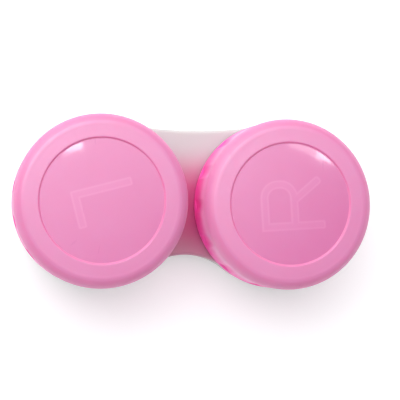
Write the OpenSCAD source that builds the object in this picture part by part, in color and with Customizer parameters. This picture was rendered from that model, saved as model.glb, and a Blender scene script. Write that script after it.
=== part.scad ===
// Contact lens case: two threaded wells joined by a bridge, each closed by a screw cap with a seal disc.
// The origin is the centre of the footprint, on the table. +X runs from the left well to the right well.

/* [Layout] */
// Distance between the axes of the two wells
well_spacing = 32.1; // [31.6:0.1:34]
// Height of the deck's top, which the caps close down to
deck_top = 4.8; // [4.6:0.1:5.2]

/* [Well] */
// Inner radius of a well
well_r = 11.1; // [10.8:0.1:11.2]
// Outer radius of the neck, at the root of its thread
neck_r = 12.3; // [12.2:0.1:12.4]
// Height of the neck's rim above the deck
neck_h = 9.1; // [8.9:0.1:9.1]
// Height of a well's inside bottom above the table
floor_z = 1.4; // [1.3:0.1:1.8]
// Thickness of a well's bowl
bowl_t = 1.2; // [1:0.1:1.2]

/* [Deck] */
// Radius of the collar that the deck forms under each cap
collar_r = 14.5; // [14.2:0.1:14.7]
// Half-width of the bridge at its waist, on the nearly straight side
waist_back = 13.1; // [12.6:0.1:13.4]
// Half-width of the bridge at its waist, on the scooped side
waist_front = 9.1; // [8:0.1:10]
// Thickness of the deck and of the skirt round its edge
plate_t = 1.3; // [1:0.1:1.5]

/* [Cap] */
// Radius of a cap at its foot
cap_r = 14.8; // [14.7:0.1:15]
// Height of a cap
cap_h = 11; // [10.9:0.1:11.3]
// How much narrower the cap's wall is at the top, from draft
cap_draft = 0.15; // [0:0.05:0.3]
// Radius of the round along the cap's top edge
cap_round = 2.1; // [1.6:0.1:2.2]
// Inner radius of the cap's skirt, at the root of its thread
bore_r = 13.4; // [13.35:0.05:13.5]
// Radius of the recessed disc on top
disc_r = 10.48; // [9.8:0.02:10.8]
// Depth of the disc's edge below the ring round it
disc_depth = 0.3; // [0.3:0.05:0.5]
// Rise of the disc from its edge to its middle
disc_dome = 0.2; // [0.1:0.05:0.2]
// Number of grip flutes round the wall
flutes = 15; // [10:1:18]
// Depth of a grip flute
flute_depth = 0.35; // [0.2:0.05:0.4]

/* [Thread] */
// Rise of the thread in one turn
lead = 3; // [2.9:0.1:3.2]
// Radial height of a thread ridge
ridge_h = 0.8; // [0.6:0.05:0.8]
// Axial width of a ridge where it meets its wall
ridge_root = 1.4; // [1.2:0.1:1.5]
// Axial width of a ridge at its crest
ridge_crest = 0.7; // [0.5:0.1:0.8]
// Turns of ridge on the neck
neck_turns = 1.25; // [1:0.05:1.25]
// Turns of ridge in the cap
cap_turns = 1; // [0.75:0.05:1]

/* [Seal] */
// Thickness of the seal disc
seal_t = 0.8; // [0.6:0.1:0.8]
// Radius of the seal disc
seal_r = 13; // [12.8:0.1:13.1]

/* [Letters] */
// Width of the letters' strokes
stroke = 1.15; // [1.1:0.05:1.5]
// How far the letters stand up from the disc
letter_h = 0.08; // [0.06:0.02:0.08]

/* [Hidden] */
$fn = 96;

dome_fn = 1440;          // segments of the dome's large circle, which uses a narrow arc of it
cut = 1;                 // overshoot of a cutting shape
play = 0.3;              // gap between a cap's foot and its collar
seat = 0.05;             // gap on each side of a seal disc
embed = 0.3;             // depth to which a shape is sunk into the one that carries it
rim_round = 0.35;        // radius along the rim of a neck

cap_z = deck_top + play;
rim_z = deck_top + neck_h;
neck_top = rim_z - rim_round;                // height at which the neck's rim starts to round over
seal_z = rim_z + seat;
roof_z = seal_z + seal_t + seat - cap_z;     // underside of a cap's top, above the cap's foot

bowl_z = 4.8;            // height at which a well's bowl meets its straight wall
bowl_r = (pow(well_r, 2) + pow(bowl_z - floor_z, 2)) / (2 * (bowl_z - floor_z));
crossing = 0.05;         // how far the bridge's arcs dip inside the collars before they end

cap_top_r = cap_r - cap_draft;
lip_round = 0.2;         // radius of the lip round the disc
dome_r = (pow(disc_r, 2) + pow(disc_dome, 2)) / (2 * disc_dome);
disc_edge_z = cap_h - disc_depth;

flute_r = 3.4;           // radius of the cylinder that cuts a flute
flute_ledge = 0.9;       // height of the plain band below the flutes
flute_top = cap_h - 2.5;
flute_turn = 2.5;        // where the left cap's flutes start, in degrees
flute_turn_right = 14;   // where the right cap's flutes start, in degrees

bead_r = 0.5;            // section radius of the bead that keeps a seal disc in its cap
bead_z = seal_z - cap_z - bead_r - 0.15;     // height of that bead above the cap's foot
plug_out = 10.8;         // outer radius of a seal's plug lip
plug_in = 9.8;           // inner radius of a seal's plug lip
plug_h = 0.8;            // depth of a seal's plug lip

neck_ridge_z = 7;        // height at which a neck's ridge starts
cap_ridge_start = 156;   // angle at which a cap's ridge starts, in degrees
ridge_step = 7.5;        // degrees between the sections of a ridge
run_out = 22.5;          // degrees over which a ridge's ends fade away

left_x = -well_spacing / 2;
right_x = well_spacing / 2;

// Radius of an arc that bounds the bridge: it passes y from the middle and runs smoothly onto both collars
function side_arc(y) =
    let (r = collar_r - crossing) (pow(right_x, 2) + pow(y, 2) - pow(r, 2)) / (2 * (r - y));
// Share of a ridge's full height at angle a of a ridge that spans the given angle
function fade(a, span) = min(1, a / run_out, (span - a) / run_out);

// A helical ridge that climbs lead in each turn, from height z0 at angle a0.
// Its wide side is at root_r and its crest stands dir * ridge_h from there: outwards at 1, inwards at -1.
module ridge(root_r, dir, z0, a0, turns) {
    span = 360 * turns;
    steps = round(span / ridge_step);
    wide = ridge_root / 2;
    narrow = ridge_crest / 2;
    sections = [for (i = [0:steps])
        let (a = span * i / steps,
             z = z0 + lead * a / 360,
             back = root_r - dir * embed,
             crest = root_r + dir * (ridge_h * fade(a, span) - embed / 2 * (1 - fade(a, span))))
        [[back, z - wide], [crest, z - narrow], [crest, z + narrow], [back, z + wide]]];
    points = [for (i = [0:steps], p = sections[i])
        let (a = a0 + span * i / steps)
        [p[0] * cos(a), p[0] * sin(a), p[1]]];
    sides = [for (i = [0:steps - 1], k = [0:3])
        let (j = (k + 1) % 4, at = 4 * i)
        each [[at + k, at + j, at + 4 + j], [at + k, at + 4 + j, at + 4 + k]]];
    ends = [[3, 2, 1, 0], [for (k = [0:3]) 4 * steps + k]];
    faces = concat(sides, ends);
    // the order of a section's points turns over with dir, so the faces turn over too
    polyhedron(points, dir < 0 ? [for (f = faces) [for (k = [len(f) - 1:-1:0]) f[k]]] : faces);
}

// The space inside a bowl that is drawn out by extra, up to where the straight wall starts
module bowl_2d(extra) {
    intersection() {
        square([neck_r, bowl_z]);
        translate([0, floor_z + bowl_r]) circle(bowl_r + extra, $fn = 360);
    }
}

// A half section of one well: a bowl under a straight neck
module well_2d() {
    difference() {
        union() {
            bowl_2d(bowl_t);
            translate([0, deck_top - plate_t]) square([neck_r, neck_top - deck_top + plate_t]);
            translate([0, neck_top - cut]) square([neck_r - rim_round, cut + rim_round]);
            translate([neck_r - rim_round, neck_top]) intersection() {
                circle(rim_round, $fn = 32);
                square(rim_round);
            }
        }
        translate([0, bowl_z]) square([well_r, rim_z]);
        bowl_2d(0);
    }
}

// One side of the bridge, drawn in by inset: waist is the half-width at the middle, side is 1 or -1
module bridge_side_2d(waist, side, inset) {
    arc = side_arc(waist);
    half = right_x * (arc + inset) / (arc + collar_r);
    difference() {
        translate([-half, min(0, side * collar_r)]) square([2 * half, collar_r]);
        translate([0, side * (waist + arc)]) circle(arc + inset, $fn = 360);
    }
}

// The outline of the deck seen from above, drawn in by inset
module deck_2d(inset) {
    for (x = [left_x, right_x]) translate([x, 0]) circle(collar_r - inset);
    bridge_side_2d(waist_back, 1, inset);
    bridge_side_2d(waist_front, -1, inset);
}

module deck() {
    translate([0, 0, deck_top - plate_t]) linear_extrude(plate_t) difference() {
        deck_2d(0);
        for (x = [left_x, right_x]) translate([x, 0]) circle((well_r + neck_r) / 2);
    }
}

// The skirt hangs from the deck's edge down to the table
module skirt() {
    linear_extrude(deck_top - plate_t / 2) difference() {
        deck_2d(0);
        deck_2d(plate_t);
    }
}

module case_body() {
    color("white") {
        for (x = [left_x, right_x])
            translate([x, 0, 0]) {
                rotate_extrude() well_2d();
                ridge(neck_r, 1, neck_ridge_z, 0, neck_turns);
            }
        deck();
        skirt();
    }
}

// A half section of the cap's solid shape, before it is hollowed
module cap_outer_2d() {
    polygon([[0, 0], [cap_r, 0], [cap_top_r, cap_h - cap_round], [0, cap_h - cap_round]]);
    translate([0, cap_h - cap_round - cut]) square([cap_top_r - cap_round, cap_round + cut]);
    translate([cap_top_r - cap_round, cap_h - cap_round]) circle(cap_round);
}

// A half section of the space above the disc
module disc_recess_2d() {
    difference() {
        union() {
            translate([0, disc_edge_z - cut]) square([disc_r, disc_depth + 2 * cut]);
            // the lip opens out round a small radius
            difference() {
                translate([disc_r - cut, cap_h - lip_round]) square([lip_round + cut, lip_round + cut]);
                translate([disc_r + lip_round, cap_h - lip_round]) circle(lip_round, $fn = 32);
            }
        }
        translate([0, disc_edge_z + disc_dome - dome_r]) circle(dome_r, $fn = dome_fn);
    }
}

module cap_hollow_2d() {
    difference() {
        translate([0, -cut]) square([bore_r, roof_z + cut]);
        translate([bore_r, bead_z]) circle(bead_r, $fn = 32);
    }
}

module cap_shell() {
    rotate_extrude()
        intersection() {
            difference() {
                cap_outer_2d();
                disc_recess_2d();
                cap_hollow_2d();
            }
            square([cap_r, cap_h]);
        }
}

// A letter's outline, raised from the disc and curved as the disc is
module raised() {
    intersection() {
        translate([0, 0, disc_edge_z - embed]) linear_extrude(cut + letter_h) children();
        rotate_extrude()
            intersection() {
                square([disc_r, cap_h + cut]);
                translate([0, disc_edge_z + disc_dome - dome_r]) circle(dome_r + letter_h, $fn = dome_fn);
            }
    }
}

module letter_l() {
    square([stroke, 10.2]);
    square([6.1, stroke]);
}

module round_box(w, h, r) {
    square([w - r, h]);
    translate([0, r]) square([w, h - 2 * r]);
    for (y = [r, h - r]) translate([w - r, y]) circle(r, $fn = 48);
}

module letter_r() {
    bowl_w = 8.3;
    bowl_h = 6.3;
    bowl_y = 4.6;
    bowl_round = 2.9;
    square([stroke, bowl_y + bowl_h]);
    translate([0, bowl_y]) difference() {
        round_box(bowl_w, bowl_h, bowl_round);
        translate([stroke, stroke])
            round_box(bowl_w - 2 * stroke, bowl_h - 2 * stroke, bowl_round - stroke);
    }
    // the leg runs from under the bowl down to the right
    translate([4.9, 5.2]) rotate(-53) translate([0, -stroke / 2]) square([5.8, stroke]);
}

// The whole cap at its well, with flutes from angle turn and a letter drawn by the children
module cap(x, turn) {
    translate([x, 0, cap_z]) {
        difference() {
            cap_shell();
            for (i = [0:flutes - 1])
                rotate(turn + i * 360 / flutes)
                    translate([cap_r + flute_r - flute_depth, 0, flute_ledge])
                        cylinder(r = flute_r, h = flute_top - flute_ledge);
        }
        ridge(bore_r, -1, neck_ridge_z - lead / 2 + lead * cap_ridge_start / 360 - cap_z,
              cap_ridge_start, cap_turns);
        raised() children();
    }
}

module left_cap() {
    color("hotpink") cap(left_x, flute_turn)
        translate([-5.3, 1.2]) rotate(-74.7) letter_l();
}

module right_cap() {
    color("hotpink") cap(right_x, flute_turn_right)
        translate([6.05, -3.95]) rotate(94) letter_r();
}

// A soft disc with a lip that plugs the mouth of its well
module seal(x) {
    color("gainsboro") translate([x, 0, seal_z]) {
        cylinder(r = seal_r, h = seal_t);
        translate([0, 0, -plug_h]) difference() {
            cylinder(r = plug_out, h = plug_h + embed);
            translate([0, 0, -cut]) cylinder(r = plug_in, h = plug_h + 2 * cut);
        }
    }
}

module left_seal() {
    seal(left_x);
}

module right_seal() {
    seal(right_x);
}

case_body();
left_cap();
right_cap();
left_seal();
right_seal();
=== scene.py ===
"""Contact lens case: the looks of its three mouldings and two seal discs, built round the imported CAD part.

Lengths in this file are in millimetres, unless they are multiplied by MM, which makes them metres.
"""

import math

import bpy
import numpy as np
from mathutils import Matrix, Vector
from mathutils.geometry import delaunay_2d_cdt


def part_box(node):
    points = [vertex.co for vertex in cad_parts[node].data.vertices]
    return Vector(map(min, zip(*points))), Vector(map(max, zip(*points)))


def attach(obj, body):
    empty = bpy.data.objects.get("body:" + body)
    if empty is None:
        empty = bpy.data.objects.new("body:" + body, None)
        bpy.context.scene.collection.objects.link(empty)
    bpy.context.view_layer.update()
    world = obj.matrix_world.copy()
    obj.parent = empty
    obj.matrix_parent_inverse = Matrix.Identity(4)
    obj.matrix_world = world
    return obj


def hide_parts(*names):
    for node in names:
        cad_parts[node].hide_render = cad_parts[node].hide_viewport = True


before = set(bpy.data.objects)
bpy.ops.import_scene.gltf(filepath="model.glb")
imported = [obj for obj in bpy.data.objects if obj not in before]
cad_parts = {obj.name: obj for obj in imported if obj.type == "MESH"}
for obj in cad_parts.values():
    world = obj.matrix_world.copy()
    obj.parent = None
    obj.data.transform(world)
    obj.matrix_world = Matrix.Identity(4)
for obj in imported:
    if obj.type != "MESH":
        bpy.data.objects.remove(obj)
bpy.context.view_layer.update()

MM = 0.001

# The case
COLLAR_R = 14.5
WAIST_BACK = 13.1
WAIST_FRONT = 9.1
PLATE_T = 1.3
DECK_TOP = 4.8
DECK_ROUND = 0.5
FOOT_ROUND = 0.3
UNDER_ROUND = 0.2
NECK_FILLET = 0.25
WELL_R = 11.1
NECK_R = 12.3
RIM_ROUND = 0.35
FLOOR_Z = 1.4
BOWL_Z = 4.8
BOWL_T = 1.2
WELL_RIM_ROUND = 0.25
BOWL_BLEND = 0.2  # how far the bowl's edge stays in from the well's wall, and the wall's foot above it
SEAM = 0.1  # width of the flat strip that joins an edge's round to the deck

# The caps
CAP_DRAFT = 0.15
CAP_ROUND = 2.1
CAP_FOOT_ROUND = 0.15
ROOF_ROUND = 0.2
RING_FALL = 0.14
RING_MARGIN = 1.3  # how far inside the wall the ring's plastic ends
BORE_R = 13.4
DISC_R = 10.48
DISC_DEPTH = 0.22
DISC_DOME = 0.2
LIP_ROUND = 0.17
FLUTES = 15
FLUTE_R = 3.4
FLUTE_DEPTH = 0.35
FLUTE_LEDGE = 0.9
FLUTE_TOP = 2.5
FLUTE_SOFT = 0.03
FLUTE_FOOT_FADE = 0.25
FLUTE_TOP_FADE = 0.6
BEAD_R = 0.5
BEAD_GAP = 0.15
SEAT = 0.05

# The threads
LEAD = 3.0
RIDGE_H = 0.8
RIDGE_ROOT = 1.4
RIDGE_CREST = 0.7
RUN_OUT = 22.5
NECK_RIDGE_Z = 7.0
NECK_TURNS = 1.25
CAP_RIDGE_START = 156
CAP_TURNS = 1.0

# The seal discs
PLUG_OUT = 10.8
PLUG_IN = 9.8
PLUG_H = 0.8
SEAL_ROUND = 0.2
PLUG_ROUND = 0.15

# The letters: places of their lower left corners on the disc, turns in degrees, and sizes
STROKE = 1.15
STROKE_ROUND = 0.2
L_PLACE = (-5.3, 1.2)
L_TURN = -74.7
L_HEIGHT = 10.2
L_WIDTH = 6.1
R_PLACE = (6.05, -3.95)
R_TURN = 94
R_BOWL_Y = 4.6
R_BOWL_W = 8.3
R_BOWL_H = 6.3
R_BOWL_ROUND = 2.9
R_LEG_PLACE = (4.9, 5.2)
R_LEG_TURN = -53
R_LEG_LENGTH = 5.8
R_LEG_ROUND = 0.4
LETTER_RISE = 0.007
LETTER_FLANK = 0.55
LETTER_LINE = 0.17
# how much lighter the strokes' fill is, and how strong the painted highlight along their edges is
LETTER_FILL_TINT = 0.45
LETTER_EDGE_HIGHLIGHT = 0.7

# How finely the meshes are divided
AROUND = 720
HUB_R = 0.06  # radius of the innermost ring of points
DISC_STEP = 0.09
WALL_STEP = 0.1
LIP_STEPS = 8
SHOULDER_STEPS = 32
EDGE_STEP = 20  # angle between two points of the outline, in degrees, times the arc's radius

SAME_WALL = 0.01  # radii nearer than this lie on the same wall


# ---------------------------------------------------------------- meshes


def arc(centre, radius, start, end, steps):
    """Points (r, z) on an arc between two angles in degrees, both ends included."""
    angles = np.radians(np.linspace(start, end, steps + 1))
    return [(centre[0] + radius * math.cos(a), centre[1] + radius * math.sin(a)) for a in angles]


def line(start, end, step):
    """Points (r, z) on a line, both ends included, no further apart than step."""
    count = max(1, math.ceil(math.dist(start, end) / step))
    return [tuple(p) for p in np.linspace(start, end, count + 1)]


def smooth(share):
    """A share from 0 to 1 made level at both ends."""
    return share * share * (3 - 2 * share)


def joined(*parts):
    """One list of points from several that follow each other, with no point twice in a row."""
    points = []
    for part in parts:
        for p in part:
            if not points or math.dist(points[-1], p) > 1e-6:
                points.append(p)
    return points


def mesh_object(name, verts, faces, materials, face_material, place):
    """A smooth-shaded object from points in millimetres, with its origin at place, in metres."""
    mesh = bpy.data.meshes.new(name)
    mesh.from_pydata((np.asarray(verts, float) * MM).tolist(), [], faces)
    for material in materials:
        mesh.materials.append(material)
    mesh.polygons.foreach_set("material_index", np.asarray(face_material, np.int32))
    mesh.polygons.foreach_set("use_smooth", np.ones(len(mesh.polygons), bool))
    mesh.update()
    obj = bpy.data.objects.new(name, mesh)
    bpy.context.scene.collection.objects.link(obj)
    obj.location = place
    return obj


def strip_faces(rows, width):
    """Quads between rows of width points each, closed round."""
    i = np.arange(rows - 1)[:, None] * width
    j = np.arange(width)[None, :]
    k = (j + 1) % width
    quads = np.stack([i + j, i + width + j, i + width + k, i + k], axis=-1)
    return quads.reshape(-1, 4).tolist()


def turned(profile, shape=None):
    """Points and faces of a closed profile turned round Z. It starts and ends on the axis.

    shape(radius, z, angle) may change the radius and z of every point."""
    angle = np.radians(np.arange(AROUND) * 360 / AROUND)
    r = np.array([p[0] for p in profile])[:, None] * np.ones(AROUND)
    z = np.array([p[1] for p in profile])[:, None] * np.ones(AROUND)
    if shape:
        r, z = shape(r, z, np.broadcast_to(angle, r.shape))
    body = slice(1, len(profile) - 1)
    grid = np.stack([r * np.cos(angle), r * np.sin(angle), z], axis=-1)[body].reshape(-1, 3)
    rows = len(profile) - 2
    verts = np.concatenate([grid, [[0, 0, z[0, 0]], [0, 0, z[-1, 0]]]])
    top, bottom, last = len(grid), len(grid) + 1, (rows - 1) * AROUND
    faces = strip_faces(rows, AROUND)
    for j in range(AROUND):
        k = (j + 1) % AROUND
        faces.append([top, j, k])
        faces.append([bottom, last + k, last + j])
    return verts, faces


def helix_height(angle, z, z0, start, turns):
    """Height, from 0 to 1, of a thread ridge at each point of a wall. It climbs from z0 at angle start."""
    height = np.zeros(np.broadcast(angle, z).shape)
    span = 360 * turns
    for lap in range(math.ceil(turns) + 1):
        a = (np.degrees(angle) - start) % 360 + 360 * lap
        fade = np.clip(np.minimum(a, span - a) / RUN_OUT, 0, 1)
        off = np.abs(z - (z0 + LEAD * a / 360))
        flank = np.clip((RIDGE_ROOT / 2 - off) / ((RIDGE_ROOT - RIDGE_CREST) / 2), 0, 1)
        height = np.maximum(height, smooth(flank) * fade)
    return height


# ---------------------------------------------------------------- letters, as distances to their outlines


def box_distance(x, y, x0, y0, x1, y1, radius):
    """Signed distance to a box with round corners, negative inside."""
    dx = np.abs(x - (x0 + x1) / 2) - (x1 - x0) / 2 + radius
    dy = np.abs(y - (y0 + y1) / 2) - (y1 - y0) / 2 + radius
    outside = np.hypot(np.maximum(dx, 0), np.maximum(dy, 0))
    return outside + np.minimum(np.maximum(dx, dy), 0) - radius


def into_letter(x, y, origin, turn):
    """Coordinates turned into those of a letter, or of its leg, which starts at origin."""
    a = math.radians(turn)
    dx, dy = x - origin[0], y - origin[1]
    return dx * math.cos(a) + dy * math.sin(a), dy * math.cos(a) - dx * math.sin(a)


def letter_l(x, y):
    """Signed distance to the left cap's letter."""
    x, y = into_letter(x, y, L_PLACE, L_TURN)
    upright = box_distance(x, y, 0, 0, STROKE, L_HEIGHT, STROKE_ROUND)
    foot = box_distance(x, y, 0, 0, L_WIDTH, STROKE, STROKE_ROUND)
    return np.minimum(upright, foot)


def letter_r(x, y):
    """Signed distance to the right cap's letter: an upright, half of a round-cornered loop and a leg."""
    x, y = into_letter(x, y, R_PLACE, R_TURN)
    top = R_BOWL_Y + R_BOWL_H
    upright = box_distance(x, y, 0, 0, STROKE, top, STROKE_ROUND)
    outer = box_distance(x, y, -R_BOWL_W, R_BOWL_Y, R_BOWL_W, top, R_BOWL_ROUND)
    inner_round = R_BOWL_ROUND - STROKE
    inner = box_distance(x, y, -R_BOWL_W, R_BOWL_Y + STROKE, R_BOWL_W - STROKE, top - STROKE, inner_round)
    bowl = np.maximum(np.maximum(outer, -inner), -x)
    along, across = into_letter(x, y, R_LEG_PLACE, R_LEG_TURN)
    leg = box_distance(along, across, 0, -STROKE / 2, R_LEG_LENGTH, STROKE / 2, R_LEG_ROUND)
    return np.minimum(np.minimum(upright, bowl), leg)


# ---------------------------------------------------------------- materials


def material(name):
    """A new material, with its node tree and its Principled shader."""
    m = bpy.data.materials.new(name)
    m.use_nodes = True
    return m, m.node_tree, m.node_tree.nodes["Principled BSDF"]


def node(tree, kind, **values):
    """A node with attributes and input values set. Input names have underscores for spaces."""
    n = tree.nodes.new(kind)
    for key, value in values.items():
        if hasattr(n, key):
            setattr(n, key, value)
        else:
            n.inputs[key.replace("_", " ")].default_value = value
    return n


def mix_colours(tree, factor, a, b):
    """A colour mix. factor is a socket; a and b are sockets or colours."""
    mix = tree.nodes.new("ShaderNodeMix")
    mix.data_type = "RGBA"
    tree.links.new(factor, mix.inputs["Factor"])
    for socket, value in ((mix.inputs["A"], a), (mix.inputs["B"], b)):
        if isinstance(value, bpy.types.NodeSocket):
            tree.links.new(value, socket)
        else:
            socket.default_value = (*value, 1)
    return mix.outputs["Result"]


def ramp(tree, source, low, high):
    """0 where source is low and 1 where it is high, smooth between."""
    n = node(tree, "ShaderNodeMapRange", interpolation_type="SMOOTHSTEP", From_Min=low, From_Max=high)
    tree.links.new(source, n.inputs["Value"])
    return n.outputs["Result"]


def noise(tree, scale, detail=3.0):
    """Noise on the object's own coordinates. scale is in features per metre."""
    coords = tree.nodes.new("ShaderNodeTexCoord")
    n = node(tree, "ShaderNodeTexNoise", Scale=scale, Detail=detail, Roughness=0.55)
    tree.links.new(coords.outputs["Object"], n.inputs["Vector"])
    return n.outputs["Fac"]


def times(tree, a, b):
    """The product of two sockets."""
    product = node(tree, "ShaderNodeMath", operation="MULTIPLY")
    tree.links.new(a, product.inputs[0])
    tree.links.new(b, product.inputs[1])
    return product.outputs["Value"]


def object_axes(tree):
    """Sockets X, Y and Z of the object's own coordinates, in metres."""
    coords = tree.nodes.new("ShaderNodeTexCoord")
    split = tree.nodes.new("ShaderNodeSeparateXYZ")
    tree.links.new(coords.outputs["Object"], split.inputs["Vector"])
    return split.outputs


def height_ramp(tree, low, high):
    """0 at height low and 1 at height high, both in millimetres above the object's origin."""
    return ramp(tree, object_axes(tree)["Z"], low * MM, high * MM)


# Where the bridge's painted shade and pink light from the caps start and where they are full, in millimetres
# along X (both ways), Y and Z
BRIDGE_LIGHT_SIDE = (12, 7)
BRIDGE_LIGHT_BACK = (11, 2)
BRIDGE_LIGHT_FRONT = (-16, -3)
BRIDGE_LIGHT_SKIRT = (2.4, 4.3)


def bridge_painted_light_mask(tree):
    """1 on the bridge between the caps, fading to the sides, the back and the front and down the skirt:
    where shade and pink light from the caps are painted.
    """
    axes = object_axes(tree)
    side = node(tree, "ShaderNodeMath", operation="ABSOLUTE")
    tree.links.new(axes["X"], side.inputs[0])
    mask = ramp(tree, side.outputs["Value"], BRIDGE_LIGHT_SIDE[0] * MM, BRIDGE_LIGHT_SIDE[1] * MM)
    for axis, start, full in (("Y", *BRIDGE_LIGHT_BACK), ("Y", *BRIDGE_LIGHT_FRONT), ("Z", *BRIDGE_LIGHT_SKIRT)):
        mask = times(tree, mask, ramp(tree, axes[axis], start * MM, full * MM))
    return mask


def bump(tree, shader, source, distance):
    """Bumps on a shader's surface, as deep as distance, in metres."""
    n = node(tree, "ShaderNodeBump", Strength=1.0, Distance=distance)
    tree.links.new(source, n.inputs["Height"])
    tree.links.new(n.outputs["Normal"], shader.inputs["Normal"])


SCRATCH_COLOUR = (0.64, 0.16, 0.38)
SCRATCH_SCALE = 210
SCRATCH_TURN = 0.9
SCRATCH_STRETCH = 0.16
SCRATCH_WIDTH = (0.007, 0.001)
SCRATCH_PATCHES = (0.56, 0.66)


def scratches(tree):
    """1 on a few hair-thin scratches, elsewhere 0.

    They are thin contours of a stretched noise, kept only in some patches. The noise is offset by the
    object's place, so that the two caps differ. It also shifts when a cap is lifted.
    """
    coords = tree.nodes.new("ShaderNodeTexCoord")
    piece = tree.nodes.new("ShaderNodeObjectInfo")
    mapping = node(tree, "ShaderNodeMapping", Rotation=(0, 0, SCRATCH_TURN), Scale=(1, SCRATCH_STRETCH, 1))
    tree.links.new(piece.outputs["Location"], mapping.inputs["Location"])
    bands = node(tree, "ShaderNodeTexNoise", Scale=SCRATCH_SCALE, Detail=1.0, Roughness=0.4)
    off = node(tree, "ShaderNodeMath", operation="SUBTRACT")
    off.inputs[1].default_value = 0.5
    away = node(tree, "ShaderNodeMath", operation="ABSOLUTE")
    tree.links.new(coords.outputs["Object"], mapping.inputs["Vector"])
    tree.links.new(mapping.outputs["Vector"], bands.inputs["Vector"])
    tree.links.new(bands.outputs["Fac"], off.inputs[0])
    tree.links.new(off.outputs["Value"], away.inputs[0])
    hairs = ramp(tree, away.outputs["Value"], *SCRATCH_WIDTH)
    patches = ramp(tree, noise(tree, 150, detail=1), *SCRATCH_PATCHES)
    return times(tree, hairs, patches)


# Heights above a cap's foot, in millimetres, over which its wall changes: its painted shade and its painted
# glow
SHADED_FOOT_FADE = (1.0, 7.4)
GLOW_COLOUR_FADE = (4.0, 8.5)
GLOW_FADE = (10.8, 7.0)
GLOW_STRENGTH = 0.16


def plastic(
    name,
    colour,
    deep,
    scatter,
    roughness,
    grain,
    gloss=0.65,
    shaded_foot_colour=None,
    glow=None,
    letter_and_highlight_colour=None,
    scratched=False,
    bridge_painted_light_colour=None,
):
    """A translucent moulded plastic: its colour drifts towards deep, and its surface has a fine grain.

    scatter is the weight, the radii and the scale of the light's spread under the surface, and grain is the
    scale and the depth of its bumps. Low down, a cap's wall turns to a deeper, redder colour, which is
    painted shade. It glows in the first colour of glow low down and in the second above; this glow is
    painted light, which stands for light that comes through the wall. The deck's plastic gets painted shade
    and pink light from the caps between them, and a disc's letters get a lighter fill with a painted
    highlight along their edges.
    """
    m, tree, shader = material(name)
    drift = ramp(tree, noise(tree, 90), 0.2, 0.8)
    tint = mix_colours(tree, drift, colour, deep)
    # painted shade: the wall turns deeper and redder towards its foot
    if shaded_foot_colour:
        tint = mix_colours(tree, height_ramp(tree, *SHADED_FOOT_FADE), shaded_foot_colour, tint)
    # painted light: the wall glows, paler above, which stands for light that comes through it
    if glow:
        glow_tint = mix_colours(tree, height_ramp(tree, *GLOW_COLOUR_FADE), *glow)
        tree.links.new(glow_tint, shader.inputs["Emission Color"])
        shine = node(tree, "ShaderNodeMath", operation="MULTIPLY")
        shine.inputs[1].default_value = GLOW_STRENGTH
        tree.links.new(height_ramp(tree, *GLOW_FADE), shine.inputs[0])
        tree.links.new(shine.outputs["Value"], shader.inputs["Emission Strength"])
    # the letters' strokes get a lighter fill and a painted highlight along their edges
    if letter_and_highlight_colour:
        on_letter = node(tree, "ShaderNodeAttribute", attribute_name="letter")
        tint = mix_colours(tree, on_letter.outputs["Fac"], tint, letter_and_highlight_colour)
    if scratched:
        tint = mix_colours(tree, scratches(tree), tint, SCRATCH_COLOUR)
    # painted shade and pink light from the caps, on the bridge between them
    if bridge_painted_light_colour:
        tint = mix_colours(tree, bridge_painted_light_mask(tree), tint, bridge_painted_light_colour)
    tree.links.new(tint, shader.inputs["Base Color"])
    wear = ramp(tree, noise(tree, 900, detail=5), 0.35, 0.75)
    rough = node(tree, "ShaderNodeMapRange", To_Min=roughness[0], To_Max=roughness[1])
    tree.links.new(wear, rough.inputs["Value"])
    tree.links.new(rough.outputs["Result"], shader.inputs["Roughness"])
    shader.inputs["Subsurface Weight"].default_value = scatter[0]
    shader.inputs["Subsurface Radius"].default_value = scatter[1]
    shader.inputs["Subsurface Scale"].default_value = scatter[2]
    shader.inputs["IOR"].default_value = 1.55
    shader.inputs["Specular IOR Level"].default_value = gloss
    bump(tree, shader, noise(tree, grain[0], detail=2), grain[1])
    return m


PINK_SCATTER = (0.5, (1.0, 0.40, 0.60), 0.9 * MM)
ring_plastic = plastic(
    "cap_ring_plastic",
    colour=(0.765, 0.248, 0.487),
    deep=(0.755, 0.233, 0.467),
    scatter=PINK_SCATTER,
    roughness=(0.34, 0.44),
    gloss=0.95,
    grain=(5200, 0.004 * MM),
)
wall_plastic = plastic(
    "cap_wall_plastic",
    colour=(0.76, 0.225, 0.455),
    deep=(0.75, 0.210, 0.435),
    scatter=PINK_SCATTER,
    roughness=(0.45, 0.55),
    grain=(5200, 0.006 * MM),
    gloss=0.9,
    # painted shade low on the wall, and a glow of painted light
    shaded_foot_colour=(0.90, 0.085, 0.42),
    glow=((0.62, 0.05, 0.33), (0.9, 0.66, 0.92)),
)
disc_plastic = plastic(
    "cap_disc_plastic",
    colour=(0.735, 0.21, 0.45),
    deep=(0.725, 0.19, 0.425),
    scatter=PINK_SCATTER,
    roughness=(0.045, 0.075),
    gloss=0.85,
    grain=(900, 0.001 * MM),
    # lighter letters, with a painted highlight along their edges
    letter_and_highlight_colour=(0.775, 0.245, 0.49),
    scratched=True,
)
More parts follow.
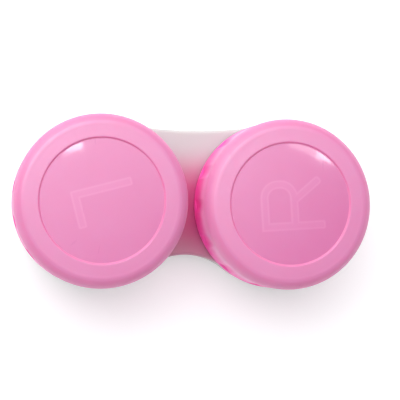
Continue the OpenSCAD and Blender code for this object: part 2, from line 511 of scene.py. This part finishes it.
# painted light: a brighter, redder copy of the ring's plastic on the disc's recess step, which lifts the
# step's shade
lip_painted_light_plastic = plastic(
    "cap_lip_painted_light_plastic",
    colour=(0.83, 0.23, 0.47),
    deep=(0.82, 0.21, 0.45),
    scatter=PINK_SCATTER,
    roughness=(0.34, 0.44),
    grain=(5200, 0.004 * MM),
)
inside_plastic = plastic(
    "cap_inside_plastic",
    colour=(0.92, 0.25, 0.50),
    deep=(0.91, 0.22, 0.47),
    scatter=PINK_SCATTER,
    roughness=(0.25, 0.34),
    grain=(2500, 0.003 * MM),
)
CASE_FINISH = dict(
    colour=(0.55, 0.555, 0.54),
    deep=(0.53, 0.535, 0.52),
    scatter=(0.6, (1.0, 0.85, 0.80), 2.5 * MM),
    roughness=(0.30, 0.34),
    grain=(3000, 0.002 * MM),
)
body_plastic = plastic("case_plastic", **CASE_FINISH)
# the deck's copy of the plastic has painted shade and pink light from the caps between them
deck_painted_light_plastic = plastic("case_deck_painted_light_plastic", bridge_painted_light_colour=(0.55, 0.055, 0.24), **CASE_FINISH)
seal_plastic = plastic(
    "seal_elastomer",
    colour=(0.86, 0.85, 0.83),
    deep=(0.83, 0.82, 0.80),
    scatter=(0.6, (1.0, 0.9, 0.85), 1.5 * MM),
    roughness=(0.45, 0.55),
    grain=(4000, 0.004 * MM),
)


# ---------------------------------------------------------------- caps


def flute_wall(r, z, angle, wall_r, cap_h, turn):
    """The wall's radius where the grip flutes cut into it, softened along their edges and ends."""
    pitch = 360 / FLUTES
    off = (np.degrees(angle) - turn + pitch / 2) % pitch - pitch / 2
    centre = wall_r + FLUTE_R - FLUTE_DEPTH
    side = centre * np.sin(np.radians(off))
    reach = np.sqrt(np.maximum(FLUTE_R**2 - side**2, 0))
    beyond_wall = wall_r + FLUTE_R
    hollow = np.where(np.abs(side) < FLUTE_R, centre * np.cos(np.radians(off)) - reach, beyond_wall)
    cut = -FLUTE_SOFT * np.logaddexp(-r / FLUTE_SOFT, -hollow / FLUTE_SOFT)
    foot_end = np.clip((z - FLUTE_LEDGE) / FLUTE_FOOT_FADE, 0, 1)
    top_end = np.clip((cap_h - FLUTE_TOP - z) / FLUTE_TOP_FADE, 0, 1)
    return r + (np.minimum(cut, r) - r) * smooth(foot_end) * smooth(top_end)


def cap_profile(cap_r, cap_h, roof_z):
    """The disc, lip, wall and hollow of a cap's profile, as (r, z), from the top's middle to the roof's."""
    top_r = cap_r - CAP_DRAFT
    round_r = top_r - CAP_ROUND
    round_z = cap_h - CAP_ROUND
    disc_z = cap_h - DISC_DEPTH
    disc_edge = DISC_R - LIP_ROUND
    foot = CAP_FOOT_ROUND
    disc = joined([(0, disc_z)], line((HUB_R, disc_z), (disc_edge, disc_z), DISC_STEP))
    climb = np.linspace(0, 1, LIP_STEPS + 1)[1:]
    lip = list(zip(disc_edge + 2 * LIP_ROUND * climb, disc_z + DISC_DEPTH * smooth(climb)))
    shoulder = [
        (round_r + CAP_ROUND * math.sin(a), round_z + (CAP_ROUND - RING_FALL) * math.cos(a))
        for a in np.radians(np.linspace(0, 90, SHOULDER_STEPS + 1))
    ]
    wall = joined(
        line(lip[-1], (round_r, cap_h - RING_FALL), 0.2)[1:],
        shoulder,
        line((top_r, round_z), (cap_r, foot), WALL_STEP),
        arc((cap_r - foot, foot), foot, 0, -90, 4),
    )
    hollow = joined(
        line(wall[-1], (BORE_R + foot, 0), 0.3)[1:],
        arc((BORE_R + foot, foot), foot, 270, 180, 4),
        line((BORE_R, foot), (BORE_R, roof_z - ROOF_ROUND), WALL_STEP),
        arc((BORE_R - ROOF_ROUND, roof_z - ROOF_ROUND), ROOF_ROUND, 0, 90, 4),
        line((BORE_R - ROOF_ROUND, roof_z), (ROOF_ROUND, roof_z), 1.0),
        [(0, roof_z)],
    )
    return disc, lip, wall, hollow


CAP_PLASTICS = [disc_plastic, ring_plastic, wall_plastic, inside_plastic, lip_painted_light_plastic]
DISC, RING, WALL, INSIDE, LIP = range(len(CAP_PLASTICS))


def make_cap(side, turn, letter):
    """The whole cap as one closed mesh. Its flutes start at turn degrees."""
    low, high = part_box(side + "_cap")
    cap_r = (high.x - low.x) / 2 / MM
    cap_h = (high.z - low.z) / MM
    seal_low, seal_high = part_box(side + "_seal")
    roof_z = (seal_high.z - low.z) / MM + SEAT
    bead_z = (seal_low.z - low.z) / MM + PLUG_H - BEAD_R - BEAD_GAP
    place = ((low.x + high.x) / 2, (low.y + high.y) / 2, low.z)
    disc, lip, wall, hollow = cap_profile(cap_r, cap_h, roof_z)
    profile = disc + lip + wall + hollow
    lip_end = len(disc) + len(lip)
    wall_end = lip_end + len(wall)
    ring_end = next(i for i, p in enumerate(profile) if p[0] > cap_r - CAP_DRAFT - RING_MARGIN)
    ridge_z = NECK_RIDGE_Z - LEAD / 2 + LEAD * CAP_RIDGE_START / 360 - low.z / MM
    dome_r = (DISC_R**2 + DISC_DOME**2) / (2 * DISC_DOME)
    letter_fill_and_highlight = np.zeros((len(profile), AROUND))

    def shape(r, z, angle):
        """The dome and letter on the disc, the flutes in the wall, and the thread and bead in the bore."""
        r, z = r.copy(), z.copy()
        top = slice(0, len(disc))
        dome = dome_r - np.sqrt(dome_r**2 - r[top] ** 2)
        distance = letter(r[top] * np.cos(angle[top]), r[top] * np.sin(angle[top]))
        rise = smooth(np.clip(0.5 - distance / LETTER_FLANK, 0, 1))
        # a lighter fill on the strokes, and a painted highlight along their edges
        letter_fill_and_highlight[top] = LETTER_FILL_TINT * rise
        letter_fill_and_highlight[top] += LETTER_EDGE_HIGHLIGHT * np.exp(-((distance / LETTER_LINE) ** 2))
        z[top] += DISC_DOME - dome + LETTER_RISE * rise
        outer = slice(len(disc), wall_end)
        r[outer] = flute_wall(r[outer], z[outer], angle[outer], cap_r, cap_h, turn)
        inner = slice(wall_end, len(profile))
        on_bore = r[inner] > BORE_R - SAME_WALL
        ridge = RIDGE_H * helix_height(angle[inner], z[inner], ridge_z, CAP_RIDGE_START, CAP_TURNS)
        bead = np.sqrt(np.maximum(BEAD_R**2 - (z[inner] - bead_z) ** 2, 0))
        r[inner] -= np.where(on_bore, np.maximum(ridge, bead), 0)
        return r, z

    verts, faces = turned(profile, shape)
    row_material = np.full(len(profile) - 3, RING)
    row_material[: len(disc) - 2] = DISC
    row_material[len(disc) - 2 : lip_end - 2] = LIP
    row_material[ring_end - 1 : wall_end - 1] = WALL
    row_material[wall_end - 1 :] = INSIDE
    face_material = np.concatenate([np.repeat(row_material, AROUND), np.tile([DISC, INSIDE], AROUND)])
    cap = mesh_object(side + "_cap_moulding", verts, faces, CAP_PLASTICS, face_material, place)
    mask = cap.data.attributes.new("letter", "FLOAT", "POINT")
    mask.data.foreach_set("value", np.append(letter_fill_and_highlight[1:-1].ravel(), [letter_fill_and_highlight[0, 0], 0]))
    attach(cap, side + "_lid")
    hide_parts(side + "_cap")


make_cap("left", 2.5, letter_l)
make_cap("right", 14, letter_r)


# ---------------------------------------------------------------- seal discs


def make_seal(side):
    """A soft disc with a plug lip round its underside, all edges softened."""
    low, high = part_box(side + "_seal")
    seal_r = (high.x - low.x) / 2 / MM
    top = (high.z - low.z) / MM
    place = ((low.x + high.x) / 2, (low.y + high.y) / 2, low.z)
    edge, lip, hub = SEAL_ROUND, PLUG_ROUND, 0.1
    profile = joined(
        [(0, top)],
        line((hub, top), (seal_r - edge, top), 1.5),
        arc((seal_r - edge, top - edge), edge, 90, 0, 5),
        arc((seal_r - edge, PLUG_H + edge), edge, 0, -90, 5),
        line((seal_r - edge, PLUG_H), (PLUG_OUT + lip, PLUG_H), 0.5),
        arc((PLUG_OUT + lip, PLUG_H - lip), lip, 90, 180, 4),
        arc((PLUG_OUT - lip, lip), lip, 0, -90, 4),
        arc((PLUG_IN + lip, lip), lip, 270, 180, 4),
        arc((PLUG_IN - lip, PLUG_H - lip), lip, 0, 90, 4),
        line((PLUG_IN - lip, PLUG_H), (hub, PLUG_H), 1.5),
        [(0, PLUG_H)],
    )
    verts, faces = turned(profile)
    seal = mesh_object(side + "_seal_disc", verts, faces, [seal_plastic], np.zeros(len(faces)), place)
    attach(seal, side + "_disc")
    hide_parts(side + "_seal")


make_seal("left")
make_seal("right")


# ---------------------------------------------------------------- case


def outline(half_spacing):
    """Points of the deck's edge, anticlockwise from above, each with its outward normal."""
    points, normals = [], []

    def add(centre, radius, start, end, facing):
        """Adds an arc. Its outward side is away from its centre if facing is 1, and towards it if -1."""
        steps = max(2, math.ceil(abs(end - start) * abs(radius) / EDGE_STEP))
        for a in np.radians(np.linspace(start, end, steps + 1)[:-1]):
            n = np.array([math.cos(a), math.sin(a)])
            points.append(np.array(centre) + radius * n)
            normals.append(facing * n)

    def bridge(waist):
        """Radius of the arc that runs from one collar to the other, and its half angle."""
        radius = (half_spacing**2 + waist**2 - COLLAR_R**2) / (2 * (COLLAR_R - waist))
        return radius, math.degrees(math.atan2(half_spacing, waist + radius))

    back, back_half = bridge(WAIST_BACK)
    front, front_half = bridge(WAIST_FRONT)
    add((half_spacing, 0), COLLAR_R, -90 - front_half, 90 + back_half, 1)
    add((0, WAIST_BACK + back), back, -90 + back_half, -90 - back_half, -1)
    add((-half_spacing, 0), COLLAR_R, 90 - back_half, 270 + front_half, 1)
    add((0, -WAIST_FRONT - front), front, 90 + front_half, 90 - front_half, -1)
    return np.array(points), np.array(normals)


def plate(outer, circles):
    """Triangles that fill a flat outline round circular holes, as points and faces."""
    loops = [outer] + circles
    points = [Vector(p) for loop in loops for p in loop]
    edges, first = [], 0
    for loop in loops:
        edges += [(first + i, first + (i + 1) % len(loop)) for i in range(len(loop))]
        first += len(loop)
    found = delaunay_2d_cdt(points, edges, [], 0, 1e-7)
    verts = np.array([tuple(v) for v in found[0]])
    centres = [np.mean(loop, axis=0) for loop in circles]
    reach = [np.min(np.hypot(*(np.array(loop) - c).T)) for loop, c in zip(circles, centres)]
    a = np.array(outer)
    b = np.roll(a, -1, axis=0)

    def inside(p):
        """Whether a point is outside every hole and inside the outline, whose edges run from a to b."""
        if any(math.dist(p, c) < r for c, r in zip(centres, reach)):
            return False
        crosses = (a[:, 1] > p[1]) != (b[:, 1] > p[1])
        x = a[:, 0] + (p[1] - a[:, 1]) / np.where(crosses, b[:, 1] - a[:, 1], 1) * (b[:, 0] - a[:, 0])
        return np.count_nonzero(crosses & (x > p[0])) % 2 == 1

    faces = [list(f) for f in found[2] if inside(verts[list(f)].mean(axis=0))]
    return verts, faces


def edge_profile(under):
    """Inset and height of each row of the edge, from the deck's top over the skirt to its underside."""
    foot, inner = FOOT_ROUND, UNDER_ROUND
    return joined(
        [(DECK_ROUND + SEAM, DECK_TOP)],
        arc((DECK_ROUND, DECK_TOP - DECK_ROUND), DECK_ROUND, 90, 180, 8),
        line((0, DECK_TOP - DECK_ROUND), (0, foot), 1.0),
        arc((foot, foot), foot, 180, 270, 5),
        arc((PLATE_T - foot, foot), foot, 270, 360, 5),
        line((PLATE_T, foot), (PLATE_T, under - inner), 1.0),
        arc((PLATE_T + inner, under - inner), inner, 180, 90, 4),
        [(PLATE_T + inner + SEAM, under)],
    )


def make_case():
    """The case as one object: deck and skirt swept round the outline, and two wells with threaded necks."""
    left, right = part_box("left_cap"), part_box("right_cap")
    half_spacing = (right[0].x + right[1].x - left[0].x - left[1].x) / 4 / MM
    rim_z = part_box("case_body")[1].z / MM
    verts, faces, face_material = [], [], []

    def add(new_verts, new_faces, painted_bridge=False):
        """Adds points, with faces numbered from the first of them, in the deck's plastic, with its painted
        shade and pink light from the caps, where asked.
        """
        first = sum(len(v) for v in verts)
        verts.append(np.asarray(new_verts, float))
        faces.extend([[first + i for i in f] for f in new_faces])
        face_material.extend([int(painted_bridge)] * len(new_faces))

    points, normals = outline(half_spacing)
    under = DECK_TOP - PLATE_T
    edge = edge_profile(under)
    rows = [np.column_stack([points - inset * normals, np.full(len(points), z)]) for inset, z in edge]
    add(np.concatenate(rows), strip_faces(len(rows), len(points)), painted_bridge=True)

    angle = np.radians(np.arange(AROUND) * 360 / AROUND)
    circle = np.column_stack([np.cos(angle), np.sin(angle)])
    bowl_r = (WELL_R**2 + (BOWL_Z - FLOOR_Z) ** 2) / (2 * (BOWL_Z - FLOOR_Z))
    bowl_centre = (0, FLOOR_Z + bowl_r)
    outer_r = bowl_r + BOWL_T
    meet_r = math.sqrt(outer_r**2 - (bowl_centre[1] - under) ** 2)

    # the deck's top and underside between the edge and the wells
    for inset, z, hole_r, up in (
        (edge[0][0], DECK_TOP, NECK_R + NECK_FILLET + SEAM, True),
        (edge[-1][0], under, meet_r + SEAM, False),
    ):
        holes = [circle * hole_r + (x, 0) for x in (-half_spacing, half_spacing)]
        flat, triangles = plate((points - inset * normals).tolist(), [h.tolist() for h in holes])
        turn = triangles if up else [f[::-1] for f in triangles]
        add(np.column_stack([flat, np.full(len(flat), z)]), turn, painted_bridge=up)

    # half angles of the bowl's arcs: at the well's wall, at the deck's underside and near the middle
    well_half = math.degrees(math.asin((WELL_R - BOWL_BLEND) / bowl_r))
    under_half = math.degrees(math.asin(meet_r / outer_r))
    hub_half = 0.3
    neck = joined(
        [(NECK_R + NECK_FILLET + SEAM, DECK_TOP)],
        arc((NECK_R + NECK_FILLET, DECK_TOP + NECK_FILLET), NECK_FILLET, 270, 180, 5),
        line((NECK_R, DECK_TOP + NECK_FILLET), (NECK_R, rim_z - RIM_ROUND), WALL_STEP),
        arc((NECK_R - RIM_ROUND, rim_z - RIM_ROUND), RIM_ROUND, 0, 90, 6),
        arc((WELL_R + WELL_RIM_ROUND, rim_z - WELL_RIM_ROUND), WELL_RIM_ROUND, 90, 180, 5),
        line((WELL_R, rim_z - WELL_RIM_ROUND), (WELL_R, BOWL_Z + BOWL_BLEND), 0.8),
        arc(bowl_centre, bowl_r, 270 + well_half, 270 + hub_half, 60),
        [(0, FLOOR_Z)],
    )
    bowl = joined(
        [(0, FLOOR_Z - BOWL_T)],
        arc(bowl_centre, outer_r, 270 + hub_half, 270 + under_half, 50),
        [(meet_r + SEAM, under)],
    )

    def thread(r, z, angle):
        """The ridge on a neck's wall."""
        on_wall = (np.abs(r - NECK_R) < SAME_WALL) & (z > DECK_TOP + NECK_FILLET)
        ridge = RIDGE_H * helix_height(angle, z, NECK_RIDGE_Z, 0, NECK_TURNS)
        return r + np.where(on_wall, ridge, 0), z

    for x in (-half_spacing, half_spacing):
        for profile, shape, starts_open in ((neck, thread, True), (bowl, None, False)):
            whole = [(0, profile[0][1])] + profile if starts_open else profile + [(0, profile[-1][1])]
            new_verts, new_faces = turned(whole, shape)
            grid = len(new_verts) - 2
            lid = grid if starts_open else grid + 1
            add(new_verts + (x, 0, 0), [f for f in new_faces if lid not in f])

    plastics = [body_plastic, deck_painted_light_plastic]
    case = mesh_object("case_moulding", np.concatenate(verts), faces, plastics, face_material, (0, 0, 0))
    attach(case, "case")
    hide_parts("case_body")


make_case()


# ---------------------------------------------------------------- floor, lights and camera


def make_floor():
    """A sheet of nearly white paper, which reaches to the horizon."""
    size = 3000
    corners = [(-size, -size, 0), (size, -size, 0), (size, size, 0), (-size, size, 0)]
    m, tree, shader = material("floor_paper")
    tint = mix_colours(tree, noise(tree, 30), (0.86, 0.86, 0.86), (0.84, 0.84, 0.84))
    tree.links.new(tint, shader.inputs["Base Color"])
    shader.inputs["Roughness"].default_value = 0.9
    shader.inputs["Specular IOR Level"].default_value = 0.1
    shader.inputs["Emission Color"].default_value = (1, 1, 1, 1)
    shader.inputs["Emission Strength"].default_value = 0.3
    floor = mesh_object("floor", corners, [(0, 1, 2, 3)], [m], [0], (0, 0, 0))


def towards(tilt):
    """A direction from its tilt off the vertical, in degrees towards +X and +Y."""
    return Vector((math.tan(math.radians(tilt[0])), math.tan(math.radians(tilt[1])), 1)).normalized()


def pane(name, place, size, turn, power):
    """A rectangle of light that faces down. Its place and size are in millimetres, its turn in degrees."""
    data = bpy.data.lights.new(name, "AREA")
    data.shape = "RECTANGLE"
    data.size, data.size_y = size[0] * MM, size[1] * MM
    data.energy = power
    light = bpy.data.objects.new(name, data)
    bpy.context.scene.collection.objects.link(light)
    light.location = [value * MM for value in place]
    light.rotation_euler = (0, 0, math.radians(turn))
    return light


PANE_Z = 590
GLOW_TOWARDS = (-11, 30)
GLOW_REACH = (0.66, 1)
GLOW_LEVELS = (0.3, 2.7)
HORIZON_BAND = (0.16, 0.06)


def make_lights():
    """A soft window and a broad glow, both high at the back left, and panes that give the discs' glints.

    The rest of the room is dim down to a white band along the horizon, which carries on the floor's white.
    """
    window = pane("window", (-135, 140, 190), (180, 180), 0, 0.2)
    window.rotation_mode = "QUATERNION"
    window.rotation_quaternion = window.location.to_track_quat("Z", "Y")
    pane("pane_left", (-11, 105, PANE_Z), (32, 40), 12, 0.028)
    pane("pane_right", (243, 98, PANE_Z), (50, 40), -12, 0.046)
    pane("pane_right_tail", (205, 112, PANE_Z), (60, 44), -20, 0.018)
    world = bpy.data.worlds.new("studio")
    bpy.context.scene.world = world
    world.use_nodes = True
    tree = world.node_tree
    background = tree.nodes["Background"]
    background.inputs["Color"].default_value = (0.98, 0.98, 1, 1)
    coords = tree.nodes.new("ShaderNodeTexCoord")
    facing = tree.nodes.new("ShaderNodeVectorMath")
    facing.operation = "DOT_PRODUCT"
    facing.inputs[1].default_value = towards(GLOW_TOWARDS)
    glow = node(
        tree,
        "ShaderNodeMapRange",
        interpolation_type="SMOOTHSTEP",
        From_Min=GLOW_REACH[0],
        From_Max=GLOW_REACH[1],
        To_Min=GLOW_LEVELS[0],
        To_Max=GLOW_LEVELS[1],
    )
    height = tree.nodes.new("ShaderNodeSeparateXYZ")
    both = node(tree, "ShaderNodeMath", operation="ADD")
    tree.links.new(coords.outputs["Generated"], facing.inputs[0])
    tree.links.new(coords.outputs["Generated"], height.inputs["Vector"])
    tree.links.new(facing.outputs["Value"], glow.inputs["Value"])
    tree.links.new(glow.outputs["Result"], both.inputs[0])
    tree.links.new(ramp(tree, height.outputs["Z"], *HORIZON_BAND), both.inputs[1])
    tree.links.new(both.outputs["Value"], background.inputs["Strength"])


FOCAL_RATIO = 2.638
CAMERA_SHIFT = (0.05, -0.1)
CAMERA_PLACE = (-32, -5, 185)
CAMERA_TURN = (0.0688, -0.1636, 0.025)


def make_camera():
    """The camera stands above the left cap and looks almost straight down, turned a little to the right.

    Its place is in millimetres from the footprint's centre, at the caps' feet, and its turn is in radians.
    """
    data = bpy.data.cameras.new("camera")
    data.sensor_width = 36
    data.lens = FOCAL_RATIO * data.sensor_width
    data.shift_x, data.shift_y = CAMERA_SHIFT
    camera = bpy.data.objects.new("camera", data)
    bpy.context.scene.collection.objects.link(camera)
    place = Vector(CAMERA_PLACE) * MM
    place.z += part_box("left_cap")[0].z
    turn = Matrix.Identity(4)
    for angle, axis in zip(CAMERA_TURN, "XYZ"):
        turn = turn @ Matrix.Rotation(angle, 4, axis)
    camera.matrix_world = Matrix.Translation(place) @ turn
    data.clip_start, data.clip_end = 0.01, 10
    bpy.context.scene.camera = camera


make_floor()
make_lights()
make_camera()
bpy.context.scene.view_settings.view_transform = "Standard"
